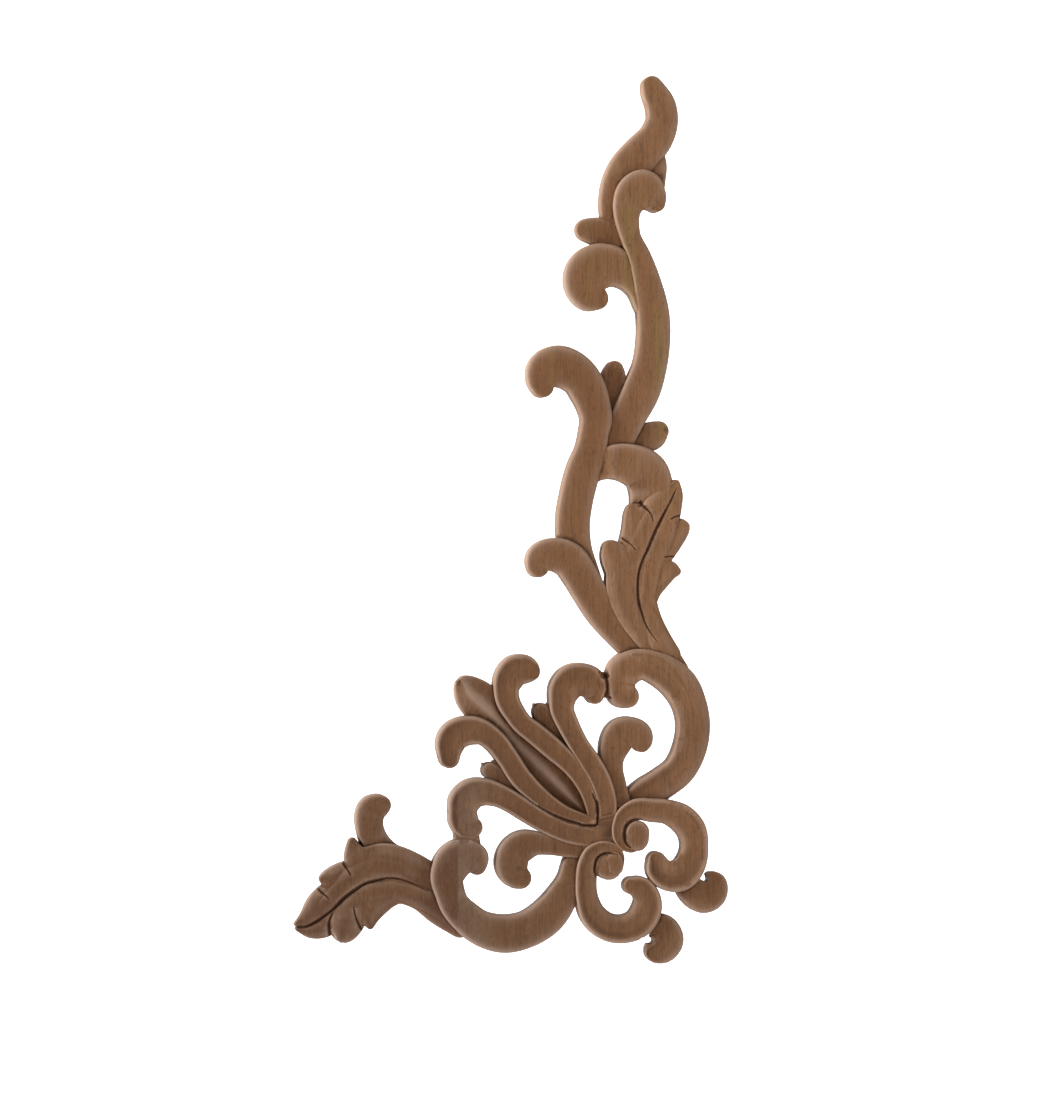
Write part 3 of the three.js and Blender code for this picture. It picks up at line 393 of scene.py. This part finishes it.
def stroke_column(section, side, levels, rows, foot=0.0):
    """Vertices and faces of one stroke, from its foot up to its carved surface.

    The stroke is what a disc of half width w sweeps, so each row across touches the disc at the lean
    dw/ds behind its middle: left, right = c - w w' h +- w sqrt(1 - w'^2) n, with h the heading.
    """
    rows = np.array(rows, float) * NET
    finely = np.linspace(0, len(rows) - 1, SAMPLES * len(rows))
    coarse = smooth_through(rows, finely)
    reach = np.linalg.norm(np.diff(coarse[:, :2], axis=0), axis=1)
    turn = np.diff(coarse[:, :2], axis=0) / reach[:, None]
    bend = np.concatenate([[0], np.arccos(np.clip((turn[1:] * turn[:-1]).sum(1), -1, 1))])
    cost = np.concatenate([[0], np.cumsum(np.maximum(reach / STEP, bend / TURN_STEP))])
    places = np.interp(np.linspace(0, cost[-1], int(cost[-1]) + 2), cost, finely)
    line = smooth_through(rows, places)
    centre, full = line[:, :2], np.maximum(line[:, 2], FINEST_POINT)
    run = np.concatenate([[0], np.cumsum(np.linalg.norm(np.diff(centre, axis=0), axis=1))])
    heading = np.gradient(centre, run, axis=0)
    heading /= np.linalg.norm(heading, axis=1)[:, None]
    growth = np.clip(np.gradient(full, run), -STEEPEST, STEEPEST)

    # A rounded end carries the width on to nothing, round the disc of its last station
    quarter = max(CAP_STEPS, int(math.pi / 2 * full.max() / STEP))
    turns = [np.linspace(math.asin(g), math.pi / 2, quarter + 1)[1:] for g in (growth[0], -growth[-1])]
    lean = np.concatenate([-np.sin(turns[0])[::-1], -growth, np.sin(turns[1])])
    past = np.concatenate([
        ((np.sin(turns[0]) - growth[0]) / (1 - growth[0]))[::-1], np.zeros(len(centre)),
        (np.sin(turns[1]) + growth[-1]) / (1 + growth[-1])])

    def carried(values):
        """The values with the first and the last repeated over the rounded ends."""
        return np.concatenate([np.repeat(values[:1], quarter, 0), values, np.repeat(values[-1:], quarter, 0)])

    centre, heading, full, way = (carried(v) for v in (centre, heading, full, places / places[-1]))
    square = np.stack([-heading[:, 1], heading[:, 0]], 1)
    middle = centre + heading * (full * lean)[:, None]
    width = full * np.sqrt(np.maximum(1 - lean**2, 0))
    reach = FOLD_REACH * full + FOLD_MARGIN
    left, left_loops = drawn_in(middle + square * width[:, None], reach)
    right, right_loops = drawn_in(middle - square * width[:, None], reach)

    # Stops across are closer together near the edges, where the arris rolls over
    t = np.sin(np.linspace(-math.pi / 2, math.pi / 2, ACROSS))[None, :]
    past, w = past[:, None], full[:, None]
    out = np.sqrt(np.minimum(1, t**2 * (1 - past**2) + past**2))
    sway = t * np.sqrt(np.maximum(1 - past**2, 0)) / np.maximum(out, 1e-6)
    cut = np.array(section, float)
    fine = smooth_through(cut, np.linspace(0, len(cut) - 1, 200))

    def drop(place):
        """The section's fall at places across, as a share of the rounding."""
        return np.interp(side * place, fine[:, 0], fine[:, 1])

    share = drop(out) * (1 + sway) / 2 + drop(-out) * (1 - sway) / 2
    count = len(levels) - 1
    knot = np.minimum((way * count).astype(int), count - 1)
    u = way * count - knot
    levels = np.array(levels)
    level = THICKNESS * (levels[knot] + (levels[knot + 1] - levels[knot]) * u * u * (3 - 2 * u))[:, None]
    arris = np.minimum(ARRIS, ARRIS_SHARE * w)
    over = np.clip((out * w - (w - arris)) / arris, 0, 1)
    rolled = arris * (1 - np.sqrt(1 - ARRIS_TURN * over**2))
    fall = ROUNDING * np.minimum(1, w / FULL_HALF) * share + rolled

    # Inside a tight turn the edge stays crisp: the fall fades where the edge was drawn in
    for loops, edge, sign in ((left_loops, left, -1), (right_loops, right, 1)):
        for a, b in loops:
            away = np.linalg.norm(edge - edge[a], axis=1)
            near = np.exp(-((away / CRISP_REACH) ** 2))[:, None] * np.clip(sign * t, 0, 1) * (1 - past**2)
            fall *= 1 - CRISPNESS * near
    height = level - fall
    for loops, column in ((left_loops, 0), (right_loops, -1)):
        for a, b in loops:
            height[a:b, column] = height[a:b, column].mean()

    place = left[:, None] + (right - left)[:, None] * (t[..., None] + 1) / 2
    n, m = height.shape
    top = np.stack([place[..., 0], -height, place[..., 1]], -1).reshape(-1, 3)
    base = np.stack([left, right], 1)
    base = np.stack([base[..., 0], np.full((n, 2), foot), base[..., 1]], -1).reshape(-1, 3)
    at = np.arange(n * m).reshape(n, m)
    sole = n * m + np.arange(2 * n).reshape(n, 2)
    quads = [
        np.stack([at[:-1, :-1], at[:-1, 1:], at[1:, 1:], at[1:, :-1]], -1).reshape(-1, 4),
        np.stack([sole[:-1, 1], sole[:-1, 0], sole[1:, 0], sole[1:, 1]], -1),
        np.stack([sole[:-1, 0], at[:-1, 0], at[1:, 0], sole[1:, 0]], -1),
        np.stack([at[:-1, -1], sole[:-1, 1], sole[1:, 1], at[1:, -1]], -1),
    ]
    return np.vstack([top, base]), np.vstack(quads)


def welded(points, faces, name):
    """A mesh object whose meeting corners are one, without the faces that shrank to nothing."""
    key = np.round(points / WELD).astype(np.int64)
    _, first, same = np.unique(key, axis=0, return_index=True, return_inverse=True)
    tris = np.vstack([faces[:, [0, 1, 2]], faces[:, [0, 2, 3]]])
    tris = same.reshape(-1)[tris]
    good = (tris[:, 0] != tris[:, 1]) & (tris[:, 1] != tris[:, 2]) & (tris[:, 2] != tris[:, 0])
    mesh = bpy.data.meshes.new(name)
    mesh.from_pydata(points[first], [], tris[good].tolist())
    obj = bpy.data.objects.new(name, mesh)
    bpy.context.scene.collection.objects.link(obj)
    return obj


def joined(base, tools, operation):
    """The base mesh with every tool added to it or cut from it."""
    for tool in tools:
        step = base.modifiers.new("step", "BOOLEAN")
        step.operation, step.solver, step.object = operation, "MANIFOLD", tool
    mesh = bpy.data.meshes.new_from_object(base.evaluated_get(bpy.context.evaluated_depsgraph_get()))
    base.modifiers.clear()
    base.data = mesh
    for tool in tools:
        bpy.data.objects.remove(tool)
    return base


columns = [
    welded(*stroke_column(section, side, levels, rows), name)
    for name, section, side, levels, rows in STROKES
]
applique = joined(columns[0], columns[1:], "UNION")
applique.name = "carving"

# How the parting tool's lines and the slots are cut
LINE_STEP = 0.5 * MM
LINE_SAMPLES = 16  # places looked at for each station of a line
LINE_SETTLE = 3  # rows either side over which the surface under the tool is evened out
FINEST_LINE = 0.1 * MM  # least half width
FAINTEST_LINE = 0.05 * MM  # least depth
TOOL_RISE = 3 * MM  # how far the cutter stands out over the surface
FLAT = [(-1, 0), (0, 0), (1, 0)]
SLOT_TOP = 1.1  # of the thickness
OVERCUT = 1 * MM  # how far the slots' cutter stands out behind the back


def groove(rows):
    """A V-shaped cutter, 2 w wide at the surface, whose foot lies the depth d under it.

    Its two upper corners stand TOOL_RISE over the surface, so they lie w (d + rise) / d to each side.
    """
    rows = np.array(rows, float) * NET
    finely = np.linspace(0, len(rows) - 1, LINE_SAMPLES * len(rows))
    coarse = smooth_through(rows, finely)
    run = np.concatenate([[0], np.cumsum(np.linalg.norm(np.diff(coarse[:, :2], axis=0), axis=1))])
    line = smooth_through(rows, np.interp(np.arange(0, run[-1], LINE_STEP), run, finely))
    hits = [applique.ray_cast((x, -0.1, z), (0, 1, 0)) for x, z in line[:, :2]]
    height = np.array([-hit[1][1] if hit[0] else np.nan for hit in hits])
    height = np.interp(np.arange(len(line)), np.flatnonzero(~np.isnan(height)), height[~np.isnan(height)])
    beside = np.arange(len(line))[:, None] + np.arange(-LINE_SETTLE, LINE_SETTLE + 1)[None, :]
    height = np.median(height[np.clip(beside, 0, len(line) - 1)], 1)
    half, depth = np.maximum(line[:, 2], FINEST_LINE), np.maximum(line[:, 3], FAINTEST_LINE)
    heading = np.gradient(line[:, :2], axis=0)
    heading /= np.linalg.norm(heading, axis=1)[:, None]
    square = np.stack([-heading[:, 1], heading[:, 0]], 1)
    wide = (half * (depth + TOOL_RISE) / depth)[:, None]
    left, foot, right = line[:, :2] + square * wide, line[:, :2], line[:, :2] - square * wide
    ring = [
        np.stack([corner[:, 0], -(height + up), corner[:, 1]], -1)
        for corner, up in ((right, TOOL_RISE), (foot, -depth), (left, TOOL_RISE))
    ]
    points = np.stack(ring, 1).reshape(-1, 3)
    at = np.arange(len(points)).reshape(-1, 3)
    around = np.stack([at, np.roll(at, -1, 1)], -1)
    quads = [around[:-1, :, 0], around[:-1, :, 1], around[1:, :, 1], around[1:, :, 0]]
    quads = np.stack(quads, -1).reshape(-1, 4)
    first, last = at[0], at[-1]
    ends = np.array([(first[0], first[2], first[1], first[1]), (last[0], last[1], last[2], last[2])])
    return points, np.vstack([quads, ends])


cutters = [welded(*groove(rows), name) for name, rows in GROOVES]
cutters += [
    welded(*stroke_column(FLAT, 1, (SLOT_TOP, SLOT_TOP), rows, foot=OVERCUT), name)
    for name, rows in SLOTS
]
applique = joined(applique, cutters, "DIFFERENCE")
solid = applique.data

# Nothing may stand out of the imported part's box, which its coarser facets make a hair smaller
INSIDE = 0.003 * MM
count = len(solid.vertices)
points = np.empty(count * 3, np.float32)
solid.vertices.foreach_get("co", points)
low, high = (np.array(corner) for corner in CAD_BOX)
points = np.clip(points.reshape(-1, 3), low + INSIDE, high - INSIDE)
solid.vertices.foreach_set("co", points.ravel())
solid.update()
solid.shade_smooth()
solid.set_sharp_from_angle(angle=math.radians(38))

# Creases, rims and hollows: painted shade and painted highlight
# How far each point lies under, or stands out from, the surface evened out over about a millimetre,
# and for the hollows over some millimetres. The wood is toned by these three: painted shade in the creases
# and the hollows, and a painted highlight on the rims.
NEIGHBOUR = 1.5 * MM  # longest edge along which a point is evened out with another
CREASE_SHADE_FULL, RIM_HIGHLIGHT_FULL, HOLLOW_SHADE_FULL = 0.13, 0.16, 0.8  # millimetres at which each one is whole
points = np.empty(count * 3, np.float32)
normals = np.empty(count * 3, np.float32)
ends = np.empty(len(solid.edges) * 2, np.int32)
solid.vertices.foreach_get("co", points)
solid.vertices.foreach_get("normal", normals)
solid.edges.foreach_get("vertices", ends)
points, normals, ends = points.reshape(-1, 3).astype(float), normals.reshape(-1, 3), ends.reshape(-1, 2)
near = np.linalg.norm(points[ends[:, 0]] - points[ends[:, 1]], axis=1) < NEIGHBOUR
a, b = ends[near].T
degree = np.maximum(np.bincount(a, minlength=count) + np.bincount(b, minlength=count), 1)


def averaged(values, times):
    """The values with each point's taken half from its near neighbours, so many times."""
    for _ in range(times):
        total = np.bincount(a, values[b], count) + np.bincount(b, values[a], count)
        values = 0.5 * values + 0.5 * total / degree
    return values


settled = np.stack([averaged(points[:, k], 10) for k in range(3)], 1)
sunk = averaged(((settled - points) * normals).sum(1), 2) / MM
bulk = np.stack([averaged(points[:, k], 120) for k in range(3)], 1)
deep = ((bulk - points) * normals).sum(1) / MM
# These marks paint light into the wood: shade in the creases and hollows, a highlight on the rims
painted_light_marks = (("painted_crease_shade", sunk / CREASE_SHADE_FULL), ("rim", -sunk / RIM_HIGHLIGHT_FULL), ("painted_hollow_shade", deep / HOLLOW_SHADE_FULL))
for name, values in painted_light_marks:
    attribute = solid.attributes.new(name, "FLOAT", "POINT")
    attribute.data.foreach_set("value", np.clip(values, 0, 1).astype(np.float32))


# The wood
# Bare, sanded, open-pored hardwood, glued up from boards before it was carved. Its grain runs up and
# down, with a glue line through the short arm's scroll, and it has no varnish.
class Graph:
    """A material's nodes. node() adds one and returns one of its outputs as a Value."""

    def __init__(self, name):
        self.material = bpy.data.materials.new(name)
        self.material.use_nodes = True
        self.tree = self.material.node_tree
        self.shader = self.tree.nodes["Principled BSDF"]

    def node(self, kind, out=0, settings=(), **values):
        """A node of this kind, its settings first, then its sockets by name or, as in i0, by number."""
        made = self.tree.nodes.new("ShaderNode" + kind)
        for key, value in dict(settings).items():
            setattr(made, key, value)
        for key, value in values.items():
            numbered = key[0] == "i" and key[1:].isdigit()
            self.set(made.inputs[int(key[1:]) if numbered else key.replace("_", " ")], value)
        return Value(self, made.outputs[out])

    def set(self, socket, value):
        """Links a Value to the socket, or sets the socket to a constant."""
        if isinstance(value, Value):
            self.tree.links.new(value.socket, socket)
        else:
            socket.default_value = value


class Value:
    """An output socket that adds and multiplies, each time through a Math node of its own."""

    def __init__(self, graph, socket):
        self.graph, self.socket = graph, socket

    def math(self, operation, other):
        return self.graph.node("Math", settings={"operation": operation}, i0=self, i1=other)

    def __add__(self, other):
        return self.math("ADD", other)

    __radd__ = __add__

    def __mul__(self, other):
        return self.math("MULTIPLY", other)

    __rmul__ = __mul__

    def ramp(self, low, high, to_low=0.0, to_high=1.0):
        """Low maps to to_low and high to to_high, smoothly, and nothing goes past them."""
        return self.graph.node(
            "MapRange", settings={"interpolation_type": "SMOOTHSTEP"},
            i0=self, i1=low, i2=high, i3=to_low, i4=to_high)


def mix(graph, share, a, b, blend="MIX"):
    """Colour a carried over to colour b by the share, or blended with it by the share."""
    settings = {"data_type": "RGBA", "blend_type": blend}
    return graph.node("Mix", out=2, settings=settings, i0=share, i6=a, i7=b)


def srgb(r, g, b):
    """The linear colour of three 8-bit sRGB values."""
    lin = [((c / 255 + 0.055) / 1.055) ** 2.4 if c > 10 else c / 255 / 12.92 for c in (r, g, b)]
    return (*lin, 1.0)


wood = Graph("carved_wood")
place = wood.node("TexCoord", out=3)
x, z = (wood.node("SeparateXYZ", out=k, Vector=place) for k in (0, 2))


def noise(scale, stretch, **values):
    """Noise over the piece, drawn out along an axis where its stretch is under 1."""
    across = wood.node("VectorMath", settings={"operation": "MULTIPLY"}, i0=place, i1=stretch)
    return wood.node("TexNoise", Vector=across, Scale=scale, **values)


# Tone drifts over the piece and from board to board, lightest up the stem and darkest in the short arm
DARKENED = (0.66, 0.63, 0.62, 1)
LIGHTENED = (1.24, 1.22, 1.18, 1)
drift = noise(16.0, (1, 0.3, 0.6), Detail=2.0)
board = noise(60.0, (1, 0.2, 0.03), Detail=2.0, Roughness=0.5)
colour = mix(wood, drift.ramp(0.3, 0.7), srgb(114, 75, 45), srgb(129, 90, 58))
colour = mix(wood, board.ramp(0.35, 0.7) * 0.4, colour, srgb(139, 100, 68))
lift = (x + 0.8 * z).ramp(-0.12, 0.13)
darker = mix(wood, 1.0, colour, DARKENED, "MULTIPLY")
lighter = mix(wood, 1.0, colour, LIGHTENED, "MULTIPLY")
colour = mix(wood, lift, darker, lighter)

# A greyer board right of the glue line in the short arm's scroll, and a darker strip left of it
GLUE_LINE = -48 * MM
low_down = z.ramp(30 * MM, 20 * MM)
glue = (x + noise(300.0, (1, 1, 0.2), Detail=1.0) * (0.6 * MM)).ramp(GLUE_LINE - 0.4 * MM, GLUE_LINE)
colour = mix(wood, glue * low_down * x.ramp(-30 * MM, -45 * MM) * 0.45, colour, srgb(124, 100, 80))
strip = x.ramp(GLUE_LINE + 0.2 * MM, GLUE_LINE - 0.6 * MM) * x.ramp(-64 * MM, -56 * MM) * low_down
colour = mix(wood, strip * 0.5, colour, srgb(92, 56, 34))

# Olive streaks and two olive bands in the stem: left, right, foot and head of each, in millimetres
STREAK_BANDS = ((6.0, 13.5, 168, 222), (17.0, 23.5, 128, 184))
BAND_SIDE, BAND_END = 2.5, 12
streak = noise(190.0, (1, 0.3, 0.05), Detail=2.0).ramp(0.5, 0.62)
streak = streak * z.ramp(130 * MM, 155 * MM) * z.ramp(225 * MM, 200 * MM)
colour = mix(wood, streak * 0.35, colour, srgb(134, 104, 58))
for left, right, foot, head in STREAK_BANDS:
    band = x.ramp(left * MM, (left + BAND_SIDE) * MM) * x.ramp(right * MM, (right - BAND_SIDE) * MM)
    band = band * z.ramp(foot * MM, (foot + BAND_END) * MM) * z.ramp(head * MM, (head - BAND_END) * MM)
    colour = mix(wood, band * board.ramp(0.3, 0.6, 0.35, 0.75), colour, srgb(138, 106, 62))

# Fibre and short dark pores run up and down the boards
fibre = noise(1500.0, (1, 1, 0.05), Detail=3.0, Roughness=0.65)
pore = noise(3400.0, (1, 1, 0.16), Detail=1.0, Roughness=0.5)
colour = mix(wood, fibre.ramp(0.42, 0.7) * 0.36, colour, srgb(80, 52, 33))
colour = mix(wood, pore.ramp(0.57, 0.72) * 0.45, colour, srgb(62, 38, 22))
speck = noise(900.0, (1, 1, 0.5), Detail=2.0, Roughness=0.6)
colour = mix(wood, speck.ramp(0.5, 0.75) * 0.18, colour, srgb(150, 114, 84))

# Two small knots: place across, height and size in millimetres
KNOTS = ((22.6, 137.2, 1.5), (-27.7, -10.8, 1.1))
flat = wood.node("CombineXYZ", X=x, Z=z)
for knot_x, knot_z, size in KNOTS:
    heart = (knot_x * MM, 0, knot_z * MM)
    away = wood.node("VectorMath", out=1, settings={"operation": "DISTANCE"}, i0=flat, i1=heart)
    colour = mix(wood, away.ramp(0.4 * size * MM, size * MM, 0.5, 0.0), colour, srgb(48, 28, 16))

# Painted shade darkens the creases, also standing for the dust they hold, and the hollows; a painted
# highlight makes the rims and cut sides paler
painted_crease_shade, rim, painted_hollow_shade = (
    wood.node("Attribute", out=2, settings={"attribute_name": name}) for name in ("painted_crease_shade", "rim", "painted_hollow_shade"))
# Painted shade in the hollows, darker where the surface lies deeper under its surroundings
colour = mix(wood, painted_hollow_shade * 0.12, colour, srgb(70, 42, 24))
# Painted highlight: rims and cut sides that stand out from the evened-out surface are made paler
colour = mix(wood, rim * 0.3, colour, srgb(208, 180, 160))
# Painted shade in the creases, with the dust they hold, where points lie under the evened-out surface
colour = mix(wood, painted_crease_shade.ramp(0.12, 0.9) * 0.65, colour, srgb(56, 30, 14))
wood.set(wood.shader.inputs["Base Color"], colour)
wood.set(wood.shader.inputs["Roughness"], fibre.ramp(0.3, 0.7, 0.62, 0.8))
wood.set(wood.shader.inputs["Specular IOR Level"], 0.3)
height = pore.ramp(0.6, 0.75, 1.0, 0.0) + noise(160.0, (1, 1, 0.4), Detail=2.0) * 2.0
bump = wood.node("Bump", Height=height, Strength=0.35, Distance=0.2 * MM)
wood.set(wood.shader.inputs["Normal"], bump)
solid.materials.clear()
solid.materials.append(wood.material)

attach(applique, "root")
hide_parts("carved_applique")

# The stage
# A plain pale sheet: a floor that sweeps up into a wall well behind the carving. The wall glows a
# little, so that the ground behind the carving comes out white.
SHEET_HALF, FLOOR_FRONT, FLOOR_BACK, WALL_TOP = 3, -2.5, 0.6, 3
SWEEP = 0.5  # radius of the turn from floor to wall
SHEET_DROP = 0.35  # the floor's depth under the frame's origin
arc = np.linspace(0, math.pi / 2, 13)
bow = np.stack([FLOOR_BACK + SWEEP * np.sin(arc), SWEEP - SWEEP * np.cos(arc)], 1)
profile = np.vstack([(FLOOR_FRONT, 0), bow, (FLOOR_BACK + SWEEP, WALL_TOP)])
verts = [(side, y, rise - SHEET_DROP) for y, rise in profile for side in (-SHEET_HALF, SHEET_HALF)]
quads = [(2 * i, 2 * i + 1, 2 * i + 3, 2 * i + 2) for i in range(len(profile) - 1)]
sheet_mesh = bpy.data.meshes.new("sheet")
sheet_mesh.from_pydata(verts, [], quads)
sheet = bpy.data.objects.new("sheet", sheet_mesh)
bpy.context.scene.collection.objects.link(sheet)
sheet_mesh.shade_smooth()
paper = Graph("paper")
paper.set(paper.shader.inputs["Base Color"], (0.95, 0.95, 0.95, 1))
paper.set(paper.shader.inputs["Roughness"], 0.9)
up = paper.node("SeparateXYZ", out=2, Vector=paper.node("TexCoord", out=3))
paper.set(paper.shader.inputs["Emission Color"], up.ramp(-0.34, -0.2))
paper.set(paper.shader.inputs["Emission Strength"], 0.8)
sheet_mesh.materials.append(paper.material)


# The lights
# A cool key light low on the left rakes over the carving. A broad warm fill stands in front, a weaker
# light on the right, and one above and behind lights the sheet.
def softbox(name, place, target, size, power, colour=(1, 1, 1)):
    """A square area light that faces its target."""
    data = bpy.data.lights.new(name, "AREA")
    data.shape, data.size, data.energy, data.color = "SQUARE", size, power, colour
    light = bpy.data.objects.new(name, data)
    light.location = place
    aim = np.array(target) - np.array(place)
    tilt = math.atan2(math.hypot(aim[0], aim[1]), -aim[2])
    light.rotation_euler = (tilt, 0, math.atan2(aim[1], aim[0]) - math.pi / 2)
    bpy.context.scene.collection.objects.link(light)


middle = (-0.025, 0, 0.1)
softbox("key", (-1.5, -0.36, 0.6), middle, 0.4, 32, (0.95, 1.0, 1.05))
softbox("fill", (0.3, -1.9, 0.7), middle, 1.2, 4, (1.0, 0.96, 0.92))
softbox("right", (1.5, -0.9, 0.2), middle, 0.8, 5)
softbox("back", (0, 0.15, 1.6), (0, 1.1, 0.2), 1.5, 12)
world = bpy.data.worlds.new("world")
world.use_nodes = True
world.node_tree.nodes["Background"].inputs[0].default_value = (1, 1, 1, 1)
world.node_tree.nodes["Background"].inputs[1].default_value = 0.12
bpy.context.scene.world = world
bpy.context.scene.view_settings.view_transform = "Standard"
